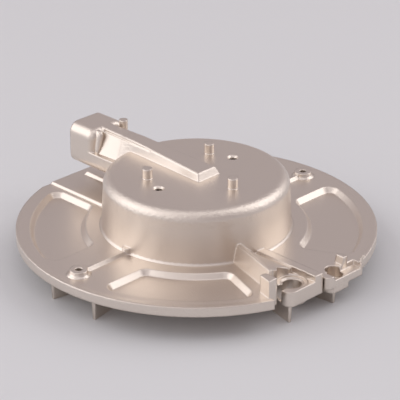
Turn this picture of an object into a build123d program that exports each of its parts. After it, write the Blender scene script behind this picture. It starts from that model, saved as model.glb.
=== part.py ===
"""Body of a gas hob burner: one aluminium die casting.

The casting stands on its locating fins with the drum up. Z runs up the drum axis, the inlet
points along +Y, the two fixing bosses lie on X and the electrode bosses on -Y. The origin is
the centre of the cup mouth, on the underside of the flange.
"""

import os
from math import radians, tan

from build123d import *

# Flange: a disc with a short flat below the inlet
flange_radius = 65.0
flange_thickness = 3.5
flange_flat_distance = 62.0

# Pockets in the flange top
rim_land_width = 5.0
pocket_inner_radius = 40.0
pocket_depth = 1.9
pocket_draft = 40.0
pocket_corner = 4.0
pocket_inlet_side = 17.0
pocket_bar_side = 12.5
pocket_spark_side = ((-19.0, -36.0), (-25.0, -53.0))
pocket_sensor_side = ((9.5, -38.0), (20.0, -57.0))

# Raised pad below the inlet
pad_width = 31.0
pad_height = 0.9
pad_draft = 30.0

# Drum: drafted cup with a rounded top
drum_base_radius = 34.3
drum_top_radius = 33.3
drum_height = 19.7
drum_top_round = 4.0
drum_wall = 3.0
drum_roof = 2.6

# Duct ridge over the drum: its tip, where it leaves the drum top, its neck and the inlet end
ridge_tip_y = -6.5
ridge_tip_lean = 27.0
ridge_tip_rise = 3.0
ridge_tip_width = 8.6
ridge_tip_draft = 19.0
ridge_drum_rise = 4.2
ridge_drum_width = 6.2
ridge_drum_draft = 12.0
ridge_neck_width = 5.8
ridge_neck_draft = 20.0
ridge_inlet_rise = 4.3
ridge_inlet_width = 4.6
ridge_inlet_draft = 28.0
ridge_edge_bevel = 0.5
lip_groove_radius = 0.4
lip_groove_drop = 1.0
lip_groove_end = (3.7, 20.0)
duct_wall = 1.6

# Inlet block at the outer end of the duct
inlet_end_y = 58.0
inlet_shoulder_y = 45.5
inlet_width = 17.0
inlet_bottom = 11.6
inlet_ledge = 18.6
inlet_top = 27.5
inlet_top_round = 3.8
inlet_bottom_round = 3.6
inlet_shoulder_round = 3.3
inlet_lug_radius = 1.6
inlet_lug_inset = 2.9
inlet_lug_stand = 1.3
injector_bore_radius = 5.0
injector_bore_depth = 10.0

# Pins and screw holes on the drum top
pin_circle_radius = 18.0
pin_radius = 1.8
pin_height = 3.8
cover_hole_spacing = 37.4
cover_hole_radius = 1.4
cover_hole_dish = 0.75

# Fixing bosses on the flange, joined to the drum by low bars
fixing_spacing = 114.0
fixing_radius = 3.2
fixing_height = 1.8
fixing_hole_radius = 1.25
bar_width = 2.6
inlet_bar_width = 4.4
bar_height = 1.2
bar_draft = 35.0
nub_radius = 1.7
nub_height = 2.2

# Guide rib, and the gas bulge from the drum to the spark electrode with the post at its outer end
guide_rib_left = -4.2
guide_rib_right = -0.8
guide_rib_height = 2.1
bulge_rise = 6.5
bulge_start_y = -31.0
bulge_start_left = -11.8
bulge_start_width = 1.6
bulge_end_y = -54.0
bulge_end_left = -18.7
bulge_end_width = 0.8
bulge_draft = 14.0
bulge_right = -6.2
bulge_groove_depth = 0.7
post_back_left = (-22.9, -53.0)
post_front_left = (-24.3, -58.6)
post_front_right = (-20.5, -58.6)

# Spark electrode boss, open to the left through a slot beside the post
spark_x = -9.4
spark_y = -55.4
spark_hole_radius = 3.3
spark_seat_radius = 5.4
spark_seat_depth = 0.5
spark_ring_radius = 3.95
spark_ring_depth = 0.35
spark_back_right_y = -50.2
spark_front_y = -61.5
spark_left = -17.0
spark_right = -0.6
spark_drop = 5.5
spark_corner_round = 3.0
spark_slot_width = 4.2
rim_end_x = -23.5
boss_radius = 5.2
boss_drop = 6.6

# Flame sensor boss, with a lug beside its blind socket, set off from the spark boss by a slit
sensor_x = 7.0
sensor_y = -59.8
sensor_socket_radius = 3.2
sensor_socket_depth = 4.7
sensor_front_y = -63.5
sensor_back_y = -53.0
sensor_left = 0.2
sensor_right = 17.9
sensor_corner_round = 2.5
sensor_drop = 4.6
sensor_recess_left = 3.7
sensor_recess_right = 17.0
sensor_recess_back_y = -60.0
sensor_recess_drop = 1.7
sensor_recess_draft = 20.0
sensor_lug_left = 10.9
sensor_lug_right = 13.7
sensor_lug_back_y = -56.3
sensor_lug_length = 3.6
sensor_lug_rise = 2.9
sensor_lug_lean = 15.0

# Locating fins on the underside, in pairs
fin_outer_radius = 61.2
fin_inner_radius = 45.0
fin_root = 1.6
fin_height = 9.0
fin_draft = 2.0
fin_half_angle = 10.0
fin_pair_angles = (0.0, 90.0, 180.0, 266.35)

# Levels worked out from the sizes above
flange_top = flange_thickness
pocket_outer_radius = flange_radius - rim_land_width
drum_top = flange_top + drum_height
cup_radius = drum_top_radius - drum_wall
cup_roof = drum_top - drum_roof
inlet_axis_z = (inlet_bottom + inlet_top) / 2
guide_rib_top = flange_top + guide_rib_height
bulge_top = flange_top + bulge_rise
spark_seat = flange_top - spark_seat_depth
spark_ring = spark_seat - spark_ring_depth
sensor_floor = flange_top - sensor_recess_drop
boss_bottom = flange_top - boss_drop
far = 2 * flange_radius


def across_inlet(y, z=0.0):
    """Plane across the inlet axis: X to the right, Z up, looking from the -Y side."""
    return Plane(origin=(0, y, z), x_dir=(1, 0, 0), z_dir=(0, -1, 0))


def outward_of(side, start_y):
    """Ends of a pocket side, stretched from start_y to well outside the flange."""
    (x1, y1), (x2, y2) = side
    slope = (x2 - x1) / (y2 - y1)
    return [(x1 + slope * (y - y1), y) for y in (start_y, -far)]


def base_width(top_width, height, draft):
    """Width of a drafted form at its foot."""
    return top_width + 2 * height * tan(radians(draft))


# Flange with its four pockets
with BuildPart() as flange:
    with BuildSketch():
        Circle(flange_radius)
        with Locations((0, flange_flat_distance)):
            Rectangle(far, far, align=(Align.CENTER, Align.MIN), mode=Mode.SUBTRACT)
    extrude(amount=flange_thickness)

    with BuildSketch(Plane.XY.offset(flange_top)) as inlet_pockets:
        Circle(pocket_outer_radius)
        Circle(pocket_inner_radius, mode=Mode.SUBTRACT)
        with Locations((pocket_inlet_side, pocket_bar_side)):
            Rectangle(far, far, align=(Align.MIN, Align.MIN), mode=Mode.INTERSECT)
        fillet(inlet_pockets.vertices(), pocket_corner)
        mirror(about=Plane.YZ)
    extrude(amount=-pocket_depth, taper=pocket_draft, mode=Mode.SUBTRACT)

    for pocket_side, outer_x in ((pocket_spark_side, -far), (pocket_sensor_side, far)):
        with BuildSketch(Plane.XY.offset(flange_top)) as electrode_pocket:
            Circle(pocket_outer_radius)
            Circle(pocket_inner_radius, mode=Mode.SUBTRACT)
            with BuildLine():
                inner_side = outward_of(pocket_side, -pocket_bar_side)
                Polyline((outer_x, -pocket_bar_side), *inner_side, (outer_x, -far), close=True)
            make_face(mode=Mode.INTERSECT)
            fillet(electrode_pocket.vertices(), pocket_corner)
        extrude(amount=-pocket_depth, taper=pocket_draft, mode=Mode.SUBTRACT)

# Drum with its rounded top, still solid
with BuildPart() as drum:
    with BuildSketch(Plane.XZ) as drum_profile:
        with BuildLine():
            Polyline(
                (0, 0),
                (drum_base_radius, 0),
                (drum_base_radius, flange_top),
                (drum_top_radius, drum_top),
                (0, drum_top),
                close=True,
            )
        make_face()
        fillet(drum_profile.vertices().sort_by_distance((drum_top_radius, drum_top))[0], drum_top_round)
    revolve(axis=Axis.Z)

# Duct ridge: lofted from its leaning tip to the inlet block, wider at the foot once off the drum
tip_plane = across_inlet(ridge_tip_y, drum_top).rotated((-ridge_tip_lean, 0, 0))
drum_edge_plane = across_inlet(drum_top_radius - drum_top_round, drum_top)
neck_plane = across_inlet(drum_base_radius, drum_top)
shoulder_plane = across_inlet(inlet_shoulder_y + inlet_shoulder_round, drum_top)
ridge_depth = drum_top - inlet_ledge + duct_wall
with BuildPart() as duct_ridge:
    for plane, rise, width, draft in (
        (tip_plane, ridge_tip_rise, ridge_tip_width, ridge_tip_draft),
        (drum_edge_plane, ridge_drum_rise, ridge_drum_width, ridge_drum_draft),
        (neck_plane, ridge_drum_rise, ridge_neck_width, ridge_neck_draft),
        (shoulder_plane, ridge_inlet_rise, ridge_inlet_width, ridge_inlet_draft),
    ):
        with BuildSketch(plane) as ridge_section:
            height = rise + ridge_depth
            with Locations((0, -ridge_depth)):
                Trapezoid(
                    base_width(width, height, draft), height, 90 - draft, align=(Align.CENTER, Align.MIN)
                )
            chamfer(ridge_section.vertices().group_by(Axis.Y)[-1], ridge_edge_bevel)
    loft(ruled=True)

    # Groove below each top edge, which leaves a thin lip
    for side in (-1, 1):
        groove_x = ridge_inlet_width / 2 + lip_groove_drop * tan(radians(ridge_inlet_draft))
        groove_end_x, groove_end_y = lip_groove_end
        with BuildLine():
            groove_line = Line(
                (side * groove_x, inlet_shoulder_y, drum_top + ridge_inlet_rise - lip_groove_drop),
                (side * groove_end_x, groove_end_y, drum_top + ridge_drum_rise - lip_groove_drop),
            )
        with BuildSketch(Plane(origin=groove_line @ 0, z_dir=groove_line % 0)):
            Circle(lip_groove_radius)
        sweep(mode=Mode.SUBTRACT)

# Inlet block, its lower body that runs into the drum, and a small lug behind the shoulder
with BuildPart() as inlet_block:
    with BuildSketch(across_inlet(inlet_end_y)) as block_section:
        with Locations((0, inlet_bottom)):
            Rectangle(inlet_width, inlet_top - inlet_bottom, align=(Align.CENTER, Align.MIN))
        fillet(block_section.vertices().group_by(Axis.Y)[-1], inlet_top_round)
        fillet(block_section.vertices().group_by(Axis.Y)[0], inlet_bottom_round)
    extrude(amount=inlet_end_y - inlet_shoulder_y)
    fillet(inlet_block.faces().sort_by(Axis.Y)[0].edges(), inlet_shoulder_round)
    with BuildSketch(across_inlet(inlet_end_y)) as body_section:
        with Locations((0, inlet_bottom)):
            Rectangle(inlet_width, inlet_ledge - inlet_bottom, align=(Align.CENTER, Align.MIN))
        fillet(body_section.vertices().group_by(Axis.Y)[0], inlet_bottom_round)
    extrude(amount=inlet_end_y - cup_radius)
    lug_x = inlet_width / 2 - inlet_lug_inset
    lug_y = inlet_shoulder_y - inlet_lug_radius
    with BuildSketch(Plane.XY.offset(inlet_ledge)):
        with Locations((lug_x, lug_y)):
            Circle(inlet_lug_radius)
    extrude(amount=inlet_top + inlet_lug_stand - inlet_ledge)

# Gas bulge: high along its left side, falling to a groove beside the guide rib
with BuildPart() as gas_bulge:
    for y, left, width in (
        (bulge_start_y, bulge_start_left, bulge_start_width),
        (bulge_end_y, bulge_end_left, bulge_end_width),
    ):
        with BuildSketch(across_inlet(y)):
            with BuildLine():
                Polyline(
                    (left - bulge_top * tan(radians(bulge_draft)), 0),
                    (left, bulge_top),
                    (left + width, bulge_top),
                    (bulge_right, guide_rib_top),
                    (bulge_right, guide_rib_top - bulge_groove_depth),
                    (guide_rib_left, guide_rib_top - bulge_groove_depth),
                    (guide_rib_left, 0),
                    close=True,
                )
            make_face()
    loft(ruled=True)

# Whole casting
with BuildPart() as burner_body:
    add(flange.part)

    # Raised pad below the inlet
    with BuildSketch(Plane.XY.offset(flange_top)):
        Circle(flange_radius)
        Rectangle(pad_width, flange_flat_distance, align=(Align.CENTER, Align.MIN), mode=Mode.INTERSECT)
    extrude(amount=pad_height, taper=pad_draft)

    # Locating fins
    with BuildSketch(Plane.XY):
        for pair_angle in fin_pair_angles:
            for side in (-fin_half_angle, fin_half_angle):
                with PolarLocations(fin_inner_radius, 1, start_angle=pair_angle + side):
                    fin_length = fin_outer_radius - fin_inner_radius
                    Rectangle(fin_length, fin_root, align=(Align.MIN, Align.CENTER))
    extrude(amount=-fin_height, taper=fin_draft)

    # Drum, duct ridge and inlet
    add(drum.part)
    add(duct_ridge.part)
    add(inlet_block.part)

    # Fixing bosses, and low bars from the drum to each boss and below the inlet
    with Locations(Plane.XY.offset(flange_top)):
        with GridLocations(fixing_spacing, 0, 2, 1):
            Cylinder(fixing_radius, fixing_height, align=(Align.CENTER, Align.CENTER, Align.MIN))
        with GridLocations(2 * drum_base_radius, 0, 2, 1):
            Cylinder(nub_radius, nub_height, align=(Align.CENTER, Align.CENTER, Align.MIN))
    with BuildSketch(Plane.XY.offset(flange_top)):
        Rectangle(fixing_spacing, bar_width)
    extrude(amount=bar_height, taper=bar_draft)
    with BuildSketch(Plane.XY.offset(flange_top + pad_height)):
        Rectangle(inlet_bar_width, inlet_end_y, align=(Align.CENTER, Align.MIN))
    extrude(amount=bar_height, taper=bar_draft)

    # Electrode side: blocks and bosses below the flange top, and on it the post, bulge and rib
    with BuildSketch(Plane.XY.offset(flange_top)) as spark_plan:
        with Locations((spark_left, spark_front_y)):
            spark_length = spark_back_right_y - spark_front_y
            Rectangle(spark_right - spark_left, spark_length, align=(Align.MIN, Align.MIN))
        fillet(spark_plan.vertices().sort_by_distance((spark_left, spark_front_y))[0], spark_corner_round)
    extrude(amount=-spark_drop)
    with BuildSketch(Plane.XY.offset(flange_top)) as sensor_plan:
        with Locations((sensor_left, sensor_front_y)):
            sensor_length = sensor_back_y - sensor_front_y
            Rectangle(sensor_right - sensor_left, sensor_length, align=(Align.MIN, Align.MIN))
        sensor_corner = sensor_plan.vertices().sort_by_distance((sensor_left, sensor_front_y))[0]
        fillet(sensor_corner, sensor_corner_round)
    extrude(amount=-sensor_drop)
    with BuildSketch(Plane.XY.offset(flange_top)):
        with Locations((spark_x, spark_y), (sensor_x, sensor_y)):
            Circle(boss_radius)
    extrude(amount=-boss_drop)
    with BuildSketch():
        with BuildLine():
            Polyline(
                post_back_left, (bulge_end_left, bulge_end_y), post_front_right, post_front_left, close=True
            )
        make_face()
    extrude(amount=bulge_top)
    add(gas_bulge.part)
    with BuildSketch(Plane.XY.offset(flange_top)):
        with Locations((guide_rib_left, spark_front_y)):
            rib_length = -spark_front_y - cup_radius
            Rectangle(guide_rib_right - guide_rib_left, rib_length, align=(Align.MIN, Align.MIN))
    extrude(amount=guide_rib_height)

    # Rim cut away before the post and round the two blocks, and the gap beside the post
    with BuildSketch(Plane.XY.offset(bulge_top)):
        with Locations((rim_end_x, post_front_left[1])):
            Rectangle(sensor_right - rim_end_x, far, align=(Align.MIN, Align.MAX))
        with Locations((post_front_right[0], spark_y + spark_slot_width / 2)):
            Rectangle(spark_left - post_front_right[0], far, align=(Align.MIN, Align.MAX))
        add(spark_plan.sketch_local, mode=Mode.SUBTRACT)
        add(sensor_plan.sketch_local, mode=Mode.SUBTRACT)
    extrude(amount=boss_bottom - bulge_top, mode=Mode.SUBTRACT)

    # Spark seat: the bulge cut off slantwise, two stepped rings, and the hole with its slot
    with BuildSketch(Plane.XY.offset(flange_top)):
        with BuildLine():
            Polyline(
                (bulge_end_left, bulge_end_y),
                (guide_rib_left, spark_back_right_y),
                (guide_rib_left, spark_front_y),
                post_front_right,
                close=True,
            )
        make_face()
    extrude(amount=far, mode=Mode.SUBTRACT)
    for level, radius in ((spark_seat, spark_seat_radius), (spark_ring, spark_ring_radius)):
        with BuildSketch(Plane.XY.offset(level)):
            with Locations((spark_x, spark_y)):
                Circle(radius)
        extrude(amount=far, mode=Mode.SUBTRACT)
    with BuildSketch(Plane.XY.offset(flange_top)):
        with Locations((spark_x, spark_y)):
            Circle(spark_hole_radius)
            Rectangle(spark_x - spark_left, spark_slot_width, align=(Align.MAX, Align.CENTER))
    extrude(amount=-boss_drop, mode=Mode.SUBTRACT)

    # Blind sensor socket, the stepped corner before it and the leaning lug beside it
    with BuildSketch(Plane.XY.offset(flange_top)):
        with Locations((sensor_x, sensor_y)):
            Circle(sensor_socket_radius)
    extrude(amount=-sensor_socket_depth, mode=Mode.SUBTRACT)
    with BuildSketch(Plane.XY.offset(sensor_floor)):
        with Locations((sensor_recess_left, sensor_recess_back_y)):
            Rectangle(sensor_recess_right - sensor_recess_left, far, align=(Align.MIN, Align.MAX))
    extrude(amount=sensor_recess_drop, taper=-sensor_recess_draft, mode=Mode.SUBTRACT)
    with BuildSketch(across_inlet(sensor_lug_back_y)):
        lug_top = flange_top + sensor_lug_rise
        with BuildLine():
            Polyline(
                (sensor_lug_left, sensor_floor),
                (sensor_lug_left + (lug_top - sensor_floor) * tan(radians(sensor_lug_lean)), lug_top),
                (sensor_lug_right, lug_top),
                (sensor_lug_right, sensor_floor),
                close=True,
            )
        make_face()
    extrude(amount=sensor_lug_length)

    # Cup, open below
    with BuildSketch():
        Circle(cup_radius)
    extrude(amount=cup_roof, mode=Mode.SUBTRACT)

    # Gas way: injector bore, and from its end the duct that opens down into the cup
    with BuildSketch(across_inlet(inlet_end_y, inlet_axis_z)):
        Circle(injector_bore_radius)
    extrude(amount=injector_bore_depth, mode=Mode.SUBTRACT)
    bore_end_plane = across_inlet(inlet_end_y - injector_bore_depth, drum_top)
    for plane, rise, width, draft in (
        (tip_plane.offset(-2 * duct_wall), ridge_tip_rise, ridge_tip_width, ridge_tip_draft),
        (bore_end_plane, ridge_inlet_rise, ridge_inlet_width, ridge_inlet_draft),
    ):
        with BuildSketch(plane):
            depth = drum_roof + duct_wall
            height = rise - duct_wall + depth
            with Locations((0, -depth)):
                Trapezoid(
                    base_width(width - 2 * duct_wall, height, draft),
                    height,
                    90 - draft,
                    align=(Align.CENTER, Align.MIN),
                )
    loft(ruled=True, mode=Mode.SUBTRACT)

    # Pins and screw holes on the drum top
    with Locations(Plane.XY.offset(drum_top)):
        with PolarLocations(pin_circle_radius, 3, start_angle=30):
            Cylinder(pin_radius, pin_height, align=(Align.CENTER, Align.CENTER, Align.MIN))
        with GridLocations(cover_hole_spacing, 0, 2, 1):
            CounterSinkHole(cover_hole_radius, cover_hole_radius + cover_hole_dish, counter_sink_angle=90)
    with Locations(Plane.XY.offset(flange_top + fixing_height)):
        with GridLocations(fixing_spacing, 0, 2, 1):
            Hole(fixing_hole_radius)

burner_body.part.label = "burner_body"
os.makedirs("parts", exist_ok=True)
export_step(burner_body.part, "parts/burner_body.step")
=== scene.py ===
"""Looks of a gas hob burner body: satin as-cast aluminium on a pale studio floor."""

import math

import bpy
import numpy as np
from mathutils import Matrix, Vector


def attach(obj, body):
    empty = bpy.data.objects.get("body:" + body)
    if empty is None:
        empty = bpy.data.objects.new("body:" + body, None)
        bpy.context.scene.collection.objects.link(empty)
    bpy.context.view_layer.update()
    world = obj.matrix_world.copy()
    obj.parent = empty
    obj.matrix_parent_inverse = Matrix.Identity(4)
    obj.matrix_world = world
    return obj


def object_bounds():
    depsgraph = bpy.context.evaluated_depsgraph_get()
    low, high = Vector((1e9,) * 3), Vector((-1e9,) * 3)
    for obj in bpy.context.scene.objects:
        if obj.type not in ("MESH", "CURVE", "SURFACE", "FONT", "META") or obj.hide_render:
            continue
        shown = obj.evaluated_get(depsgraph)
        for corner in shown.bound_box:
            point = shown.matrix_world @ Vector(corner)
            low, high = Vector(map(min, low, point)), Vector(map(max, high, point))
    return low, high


bl_info = {
    "name": "Gas hob burner body",
    "version": (1, 0, 0),
    "blender": (4, 5, 0),
    "location": "3D View > Sidebar > Burner",
    "description": "Finishes the burner casting and sets it on a studio floor",
    "category": "Object",
}

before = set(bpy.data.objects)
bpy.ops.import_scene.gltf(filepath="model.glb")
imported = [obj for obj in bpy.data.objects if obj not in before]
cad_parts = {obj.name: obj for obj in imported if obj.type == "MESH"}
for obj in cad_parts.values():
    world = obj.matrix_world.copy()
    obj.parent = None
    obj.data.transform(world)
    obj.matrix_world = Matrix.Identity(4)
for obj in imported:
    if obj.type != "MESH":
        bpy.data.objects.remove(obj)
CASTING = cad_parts["burner_body"]
CAD_LOW, CAD_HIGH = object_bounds()
MM = 0.001
FLANGE_TOP = 3.5 * MM


def srgb(hex_colour):
    """Linear RGBA of an sRGB hex colour."""
    channels = [int(hex_colour[i : i + 2], 16) / 255 for i in (1, 3, 5)]
    linear = [c / 12.92 if c <= 0.04045 else ((c + 0.055) / 1.055) ** 2.4 for c in channels]
    return (*linear, 1.0)


def add_node(tree, kind, links=None, **settings):
    """Adds a node, sets its properties and input values, and links outputs of other nodes to it."""
    node = tree.nodes.new(kind)
    for key, value in settings.items():
        if hasattr(node, key):
            setattr(node, key, value)
        else:
            node.inputs[key].default_value = value
    for key, output in (links or {}).items():
        tree.links.new(output, node.inputs[key])
    return node


class BurnerFinish(bpy.types.PropertyGroup):
    """Finish of the casting."""

    metal: bpy.props.FloatVectorProperty(
        name="Metal", description="Colour of the cast alloy", subtype="COLOR", size=4,
        default=srgb("#E4DAD0"), min=0.0, max=1.0,
    )
    roughness: bpy.props.FloatProperty(
        name="Roughness", description="Roughness of the blasted skin", default=0.35, min=0.0, max=1.0,
    )
    grain: bpy.props.FloatProperty(
        name="Grain", description="Size of the blasting grain", default=0.5 * MM, unit="LENGTH",
    )
    worn_grain: bpy.props.FloatProperty(
        name="Worn grain", description="Size of the grain on the drum edge and the rim",
        default=1.1 * MM, unit="LENGTH",
    )
    edge_round: bpy.props.FloatProperty(
        name="Edge round", description="Radius that light sees on the cast edges",
        default=0.8 * MM, unit="LENGTH",
    )


class BurnerDetails(bpy.types.PropertyGroup):
    """Small forms left on the casting."""

    bead_top: bpy.props.FloatVectorProperty(
        name="Bead top", description="Upper end of the bead at the neck of the duct",
        subtype="XYZ", unit="LENGTH", default=(-4.3 * MM, 46.5 * MM, 27.0 * MM),
    )
    bead_foot: bpy.props.FloatVectorProperty(
        name="Bead foot", description="Lower end of the bead at the neck of the duct",
        subtype="XYZ", unit="LENGTH", default=(-7.0 * MM, 45.2 * MM, 17.6 * MM),
    )
    bead_reach: bpy.props.FloatProperty(
        name="Bead reach", description="How far the bead stands out of the duct side",
        default=1.7 * MM, unit="LENGTH",
    )
    bead_width: bpy.props.FloatProperty(
        name="Bead width", description="Half width of the bead along the duct",
        default=2.7 * MM, unit="LENGTH",
    )
    flash_radius: bpy.props.FloatProperty(
        name="Flash radius", description="Distance of the scrap of flash from the drum axis",
        default=64.6 * MM, unit="LENGTH",
    )
    flash_start: bpy.props.FloatProperty(
        name="Flash start", description="Angle at which the flash starts", default=math.radians(-75.0),
        unit="ROTATION",
    )
    flash_stop: bpy.props.FloatProperty(
        name="Flash stop", description="Angle at which the flash ends", default=math.radians(-69.8),
        unit="ROTATION",
    )
    flash_height: bpy.props.FloatProperty(
        name="Flash height", description="Mean height of the flash over the flange", default=0.9 * MM,
        unit="LENGTH",
    )


class BurnerFeet(bpy.types.PropertyGroup):
    """Hollow rounds where the walls meet the flange."""

    drum_radius: bpy.props.FloatProperty(
        name="Drum radius", description="Radius of the drum at its foot", default=34.25 * MM, unit="LENGTH",
    )
    drum_round: bpy.props.FloatProperty(
        name="Drum round", description="Hollow round at the foot of the drum",
        default=0.8 * MM, unit="LENGTH",
    )
    boss_spacing: bpy.props.FloatProperty(
        name="Boss spacing", description="Distance between the fixing bosses",
        default=114.0 * MM, unit="LENGTH",
    )
    boss_radius: bpy.props.FloatProperty(
        name="Boss radius", description="Radius of a fixing boss", default=3.2 * MM, unit="LENGTH",
    )
    boss_round: bpy.props.FloatProperty(
        name="Boss round", description="Hollow round at the foot of a fixing boss",
        default=1.2 * MM, unit="LENGTH",
    )


class BurnerStage(bpy.types.PropertyGroup):
    """Floor, light and camera."""

    floor: bpy.props.FloatVectorProperty(
        name="Floor", description="Colour of the floor", subtype="COLOR", size=4,
        default=srgb("#D9DADC"), min=0.0, max=1.0,
    )
    aim: bpy.props.FloatVectorProperty(
        name="Aim", description="Point the camera looks at", subtype="XYZ", unit="LENGTH",
        default=(2.3 * MM, 0.5 * MM, 11.4 * MM),
    )
    distance: bpy.props.FloatProperty(
        name="Distance", description="Camera distance from the aim", default=720 * MM, unit="LENGTH",
    )
    azimuth: bpy.props.FloatProperty(
        name="Azimuth", description="Camera azimuth about Z, from +X",
        default=math.radians(-135.11), unit="ROTATION",
    )
    elevation: bpy.props.FloatProperty(
        name="Elevation", description="Camera height angle", default=math.radians(25.42), unit="ROTATION",
    )
    focal_length: bpy.props.FloatProperty(
        name="Focal length", description="Lens, in millimetres on a 36 mm sensor", default=180.0,
    )


def cast_aluminium(finish):
    """Blasted die-cast aluminium: a satin champagne skin, with coarser grain on the drum edge and rim."""
    material = bpy.data.materials.new("blasted die-cast aluminium")
    material.use_nodes = True
    tree = material.node_tree
    tree.nodes.clear()
    place = add_node(tree, "ShaderNodeTexCoord").outputs["Object"]
    height = add_node(tree, "ShaderNodeSeparateXYZ", {"Vector": place}).outputs["Z"]
    level = add_node(tree, "ShaderNodeVectorMath", {0: place}, operation="MULTIPLY")
    level.inputs[1].default_value = (1.0, 1.0, 0.0)
    radius = add_node(
        tree, "ShaderNodeVectorMath", {0: level.outputs["Vector"]}, operation="LENGTH",
    ).outputs["Value"]

    def ramp(value, start, stop):
        """Weight that grows from 0 to 1 between two lengths in millimetres."""
        limits = {"From Min": start * MM, "From Max": stop * MM}
        return add_node(tree, "ShaderNodeMapRange", {"Value": value}, **limits).outputs["Result"]

    def combine(operation, first, second):
        """Result of one operation on two node outputs."""
        return add_node(tree, "ShaderNodeMath", {0: first, 1: second}, operation=operation).outputs["Value"]

    drum_edge = combine("MULTIPLY", ramp(radius, 28.5, 31.5), ramp(radius, 36.0, 35.0))
    drum_edge = combine("MULTIPLY", drum_edge, ramp(height, 17.0, 20.0))
    worn = combine("MAXIMUM", drum_edge, ramp(radius, 62.5, 64.0))
    # The blasting marks are about 0.1 mm across, too fine to show, so they are drawn at the grain size.
    fine = add_node(
        tree, "ShaderNodeTexNoise", {"Vector": place}, Scale=1 / finish.grain, Detail=2.0, Roughness=0.6,
    ).outputs["Fac"]
    coarse = add_node(
        tree, "ShaderNodeTexNoise", {"Vector": place}, Scale=1 / finish.worn_grain, Detail=3.0, Roughness=0.7,
    ).outputs["Fac"]
    faint = add_node(tree, "ShaderNodeMath", {0: fine}, operation="MULTIPLY")
    faint.inputs[1].default_value = 0.2
    skin_height = combine("ADD", faint.outputs["Value"], combine("MULTIPLY", coarse, worn))
    soft_edges = add_node(tree, "ShaderNodeBevel", samples=8, Radius=finish.edge_round)
    relief = add_node(
        tree, "ShaderNodeBump", {"Height": skin_height, "Normal": soft_edges.outputs["Normal"]},
        Strength=0.8, Distance=0.3 * MM,
    )
    skin = add_node(
        tree, "ShaderNodeBsdfPrincipled", {"Normal": relief.outputs["Normal"]}, Metallic=1.0,
    )
    skin.inputs["Base Color"].default_value = finish.metal
    skin.inputs["Roughness"].default_value = finish.roughness
    add_node(tree, "ShaderNodeOutputMaterial", {"Surface": skin.outputs["BSDF"]})
    return material


class BURNER_OT_finish_casting(bpy.types.Operator):
    """Gives the casting its metal skin."""

    bl_idname = "burner.finish_casting"
    bl_label = "Finish casting"

    def execute(self, context):
        CASTING.data.materials.clear()
        CASTING.data.materials.append(cast_aluminium(context.scene.burner_finish))
        return {"FINISHED"}


def closed_tube(centre, side, rise):
    """Vertices and faces of a skin round a line of points. At each point it is an ellipse, centre plus
    side times the cosine plus rise times the sine of the turn, and the first and last point close it."""
    turn = np.linspace(0.0, 2 * np.pi, 24, endpoint=False)[None, :, None]
    rings = centre[:, None] + side[:, None] * np.cos(turn) + rise[:, None] * np.sin(turn)
    count, around = len(centre) - 2, turn.shape[1]
    vertices = np.concatenate([centre[:1], rings[1:-1].reshape(-1, 3), centre[-1:]])
    number = 1 + np.arange(count * around).reshape(count, around)
    following = np.roll(number, -1, axis=1)
    quads = np.stack([number[:-1], number[1:], following[1:], following[:-1]], axis=-1).reshape(-1, 4)
    first = np.stack([np.zeros(around, int), number[0], following[0]], axis=-1)
    last = np.stack([np.full(around, count * around + 1), following[-1], number[-1]], axis=-1)
    return vertices, quads.tolist() + first.tolist() + last.tolist()


def add_piece(context, name, shape):
    """Adds a skin to the casting, in the same metal."""
    vertices, faces = shape
    mesh = bpy.data.meshes.new(name)
    mesh.from_pydata(vertices.tolist(), [], faces)
    mesh.shade_smooth()
    mesh.materials.append(CASTING.data.materials[0])
    piece = bpy.data.objects.new(name, mesh)
    context.scene.collection.objects.link(piece)
    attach(piece, "root")


def hollow_round(centre, radius, size):
    """Vertices and faces of a closed ring round a wall. Its profile is a quarter circle from the flange up
    to the wall, led on a little along both and closed inside them, and is turned about the centre."""
    bend = np.linspace(0.0, np.pi / 2, 9)
    lead = 0.4 * MM
    inside = [radius - 0.05 * MM, radius - lead, radius - lead]
    across = np.concatenate([[radius + size + lead], radius + size * (1 - np.sin(bend)), inside])
    up = np.concatenate([[-0.02 * MM], size * (1 - np.cos(bend)), [size + lead, size + lead, -lead]])
    turn = np.linspace(0.0, 2 * np.pi, 128, endpoint=False)[:, None]
    ring = np.stack([across * np.cos(turn), across * np.sin(turn), up + 0 * turn], axis=-1)
    number = np.arange(ring.shape[0] * ring.shape[1]).reshape(ring.shape[:2])
    turned = np.roll(number, -1, axis=0)
    corners = [number, turned, np.roll(turned, -1, axis=1), np.roll(number, -1, axis=1)]
    return centre + ring.reshape(-1, 3), np.stack(corners, axis=-1).reshape(-1, 4).tolist()


class BURNER_OT_add_foot_rounds(bpy.types.Operator):
    """Adds the hollow rounds at the feet of the drum and the two fixing bosses."""

    bl_idname = "burner.add_foot_rounds"
    bl_label = "Add foot rounds"

    def execute(self, context):
        feet = context.scene.burner_feet
        half = feet.boss_spacing / 2
        for name, x, radius, size in (
            ("drum_foot", 0.0, feet.drum_radius, feet.drum_round),
            ("boss_foot_left", -half, feet.boss_radius, feet.boss_round),
            ("boss_foot_right", half, feet.boss_radius, feet.boss_round),
        ):
            add_piece(context, name, hollow_round(np.array([x, 0.0, FLANGE_TOP]), radius, size))
        return {"FINISHED"}


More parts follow.
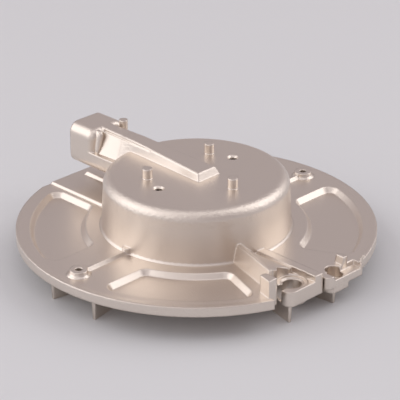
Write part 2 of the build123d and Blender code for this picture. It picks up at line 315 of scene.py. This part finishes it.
class BURNER_OT_add_neck_bead(bpy.types.Operator):
    """Adds the rounded bead that fills the corner between the duct side and the inlet block."""

    bl_idname = "burner.add_neck_bead"
    bl_label = "Add neck bead"

    def execute(self, context):
        details = context.scene.burner_details
        top, foot = np.array(details.bead_top), np.array(details.bead_foot)
        along = np.linspace(0.0, 1.0, 33)[:, None]
        # Thickness that narrows to the foot and closes in a dome at both ends
        swell = (1 - 0.6 * along) * (1 - np.abs(2 * along - 1) ** 4) ** 0.5
        fall = foot - top
        out = np.array([fall[2], 0.0, -fall[0]]) / np.hypot(fall[0], fall[2])
        centre = top + along * fall
        side = swell * details.bead_width * np.array([0.0, 1.0, 0.0])
        add_piece(context, "neck_bead", closed_tube(centre, side, swell * details.bead_reach * out))
        return {"FINISHED"}


class BURNER_OT_add_flash(bpy.types.Operator):
    """Adds the torn scrap of flash at the end of the electrode side, on the edge of the flange."""

    bl_idname = "burner.add_flash"
    bl_label = "Add flash"

    def execute(self, context):
        details = context.scene.burner_details
        along = np.linspace(0.0, 1.0, 65)[:, None]
        angle = details.flash_start + along * (details.flash_stop - details.flash_start)
        outwards = np.concatenate([np.cos(angle), np.sin(angle), 0 * angle], axis=1)
        # Ragged height: three waves that do not fall in step, fading to nothing at both ends
        waves = 0.5 * np.sin(21 * along) + 0.35 * np.sin(47 * along + 1.0) + 0.2 * np.sin(83 * along)
        fade = (4 * along * (1 - along)) ** 0.5
        height = details.flash_height * fade * (1 + 0.75 * waves)
        centre = details.flash_radius * outwards + FLANGE_TOP * np.array([0.0, 0.0, 1.0])
        wander = 1 + 0.4 * np.sin(35 * along + 2.0)
        side = 0.35 * MM * fade * wander * outwards
        add_piece(context, "flash", closed_tube(centre, side, height * np.array([0.0, 0.0, 1.0])))
        return {"FINISHED"}


class BURNER_OT_set_stage(bpy.types.Operator):
    """Adds the floor, the soft lights and the camera."""

    bl_idname = "burner.set_stage"
    bl_label = "Set stage"

    def execute(self, context):
        stage = context.scene.burner_stage
        # Wide enough that its edge stays out of the picture
        half = 4.0
        floor_mesh = bpy.data.meshes.new("floor")
        corners = [(x * half, y * half, CAD_LOW.z) for x, y in ((-1, -1), (1, -1), (1, 1), (-1, 1))]
        floor_mesh.from_pydata(corners, [], [(0, 1, 2, 3)])
        floor = bpy.data.objects.new("floor", floor_mesh)
        context.scene.collection.objects.link(floor)
        paint = bpy.data.materials.new("matt floor paint")
        paint.use_nodes = True
        shader = paint.node_tree.nodes["Principled BSDF"]
        shader.inputs["Base Color"].default_value = stage.floor
        shader.inputs["Roughness"].default_value = 0.8
        floor_mesh.materials.append(paint)

        # Large boxes on both sides whiten the sloped faces and leave the level ones grey
        for name, power, size, place in (
            ("left softbox", 10.8, 1.75, (-0.93, 0.84, 0.62)),
            ("right softbox", 5.7, 1.2, (0.9, -0.5, 0.8)),
            ("front fill", 0.9, 0.8, (-1.05, -0.35, 0.6)),
            ("top softbox", 1.3, 0.8, (-0.25, -0.25, 1.2)),
        ):
            lamp = bpy.data.lights.new(name, "AREA")
            lamp.energy = power
            lamp.size = size
            softbox = bpy.data.objects.new(name, lamp)
            softbox.location = place
            softbox.rotation_euler = (-Vector(place)).to_track_quat("-Z", "Y").to_euler()
            context.scene.collection.objects.link(softbox)

        world = bpy.data.worlds.new("studio")
        world.use_nodes = True
        world.node_tree.nodes["Background"].inputs["Color"].default_value = srgb("#B9B1B4")
        context.scene.world = world

        lens = bpy.data.cameras.new("camera")
        lens.lens = stage.focal_length
        lens.sensor_width = 36.0
        lens.clip_start = 0.05
        camera = bpy.data.objects.new("camera", lens)
        away = Vector((
            math.cos(stage.elevation) * math.cos(stage.azimuth),
            math.cos(stage.elevation) * math.sin(stage.azimuth),
            math.sin(stage.elevation),
        ))
        camera.location = Vector(stage.aim) + stage.distance * away
        camera.rotation_euler = (-away).to_track_quat("-Z", "Y").to_euler()
        context.scene.collection.objects.link(camera)
        context.scene.camera = camera
        context.scene.view_settings.view_transform = "Standard"
        return {"FINISHED"}


class BURNER_PT_panel(bpy.types.Panel):
    """Lists the steps that finish the burner."""

    bl_idname = "BURNER_PT_panel"
    bl_label = "Burner body"
    bl_space_type = "VIEW_3D"
    bl_region_type = "UI"
    bl_category = "Burner"

    def draw(self, context):
        for operator in OPERATORS:
            self.layout.operator(operator.bl_idname)


OPERATORS = (
    BURNER_OT_finish_casting,
    BURNER_OT_add_foot_rounds,
    BURNER_OT_add_neck_bead,
    BURNER_OT_add_flash,
    BURNER_OT_set_stage,
)
CLASSES = (BurnerFinish, BurnerFeet, BurnerDetails, BurnerStage, *OPERATORS, BURNER_PT_panel)


def register():
    for cls in CLASSES:
        bpy.utils.register_class(cls)
    bpy.types.Scene.burner_finish = bpy.props.PointerProperty(type=BurnerFinish)
    bpy.types.Scene.burner_feet = bpy.props.PointerProperty(type=BurnerFeet)
    bpy.types.Scene.burner_details = bpy.props.PointerProperty(type=BurnerDetails)
    bpy.types.Scene.burner_stage = bpy.props.PointerProperty(type=BurnerStage)


def unregister():
    del bpy.types.Scene.burner_stage
    del bpy.types.Scene.burner_details
    del bpy.types.Scene.burner_feet
    del bpy.types.Scene.burner_finish
    for cls in reversed(CLASSES):
        bpy.utils.unregister_class(cls)


def main():
    """Runs each step in order."""
    register()
    bpy.ops.burner.finish_casting()
    bpy.ops.burner.add_foot_rounds()
    bpy.ops.burner.add_neck_bead()
    bpy.ops.burner.add_flash()
    bpy.ops.burner.set_stage()


if __name__ == "__main__":
    main()
